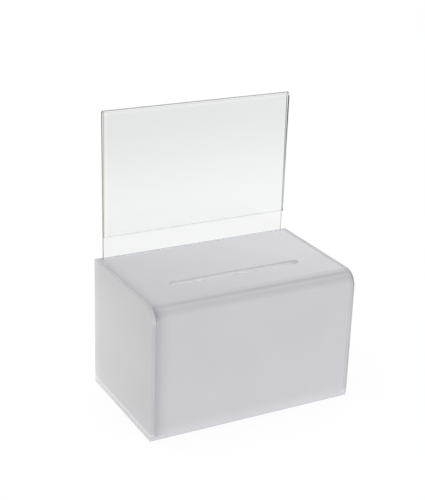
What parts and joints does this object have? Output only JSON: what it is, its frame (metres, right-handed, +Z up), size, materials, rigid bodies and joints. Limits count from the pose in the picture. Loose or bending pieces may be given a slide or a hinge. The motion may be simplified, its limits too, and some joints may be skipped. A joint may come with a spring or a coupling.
{
  "type": "donation box",
  "caption": "Counter-top donation box in white acrylic with a money slot, a clear fold-over sign holder that lifts out, and a hinged rear door with a cam lock.",
  "frame": {"origin": "middle of the box's underside, where it rests", "axes": "+Z up, +X to the right seen from the front, +Y to the rear (the front faces -Y)"},
  "size_m": [0.2414, 0.1537, 0.3146],
  "materials": {
    "white_acrylic": "satin polished opal sheet",
    "clear_acrylic": "polished clear sheet",
    "clear_hinge": "moulded clear plastic",
    "pin_steel": "ground steel",
    "lock_chrome": "plated, polished",
    "cam_steel": "zinc plated"
  },
  "bodies": {
    "box": {"base_panel": "white_acrylic", "side_panel_left": "white_acrylic", "side_panel_right": "white_acrylic", "front_top_panel": "white_acrylic", "rear_top_strip": "white_acrylic", "rear_lower_strip": "white_acrylic", "header_guide": "white_acrylic", "header_rest": "white_acrylic", "door_stop_left": "white_acrylic", "door_stop_right": "white_acrylic", "hinge_base_leaf_left": "clear_hinge", "hinge_base_leaf_right": "clear_hinge", "hinge_pin_left": "pin_steel", "hinge_pin_right": "pin_steel"},
    "sign": {"sign_holder": "clear_acrylic"},
    "door": {"rear_door": "white_acrylic", "hinge_door_leaf_left": "clear_hinge", "hinge_door_leaf_right": "clear_hinge", "lock_barrel": "lock_chrome", "lock_washer": "cam_steel", "lock_nut": "cam_steel"},
    "cam": {"lock_plug": "lock_chrome", "lock_cam": "cam_steel", "cam_screw": "cam_steel"}
  },
  "joints": [
    {"name": "sign_lift", "type": "slide", "parent": "box", "child": "sign", "axis": [0, 0.0152, 0.9999], "range_m": [0, 0.04]},
    {"name": "door_swing", "type": "hinge", "parent": "box", "child": "door", "pos_m": [0, 0.07705, 0.0273], "axis": [-1, 0, 0], "range_deg": [0, 105]},
    {"name": "lock_turn", "type": "hinge", "parent": "door", "child": "cam", "pos_m": [0, 0.07375, 0.0857], "axis": [0, -1, 0], "range_deg": [0, 90]}
  ]
}
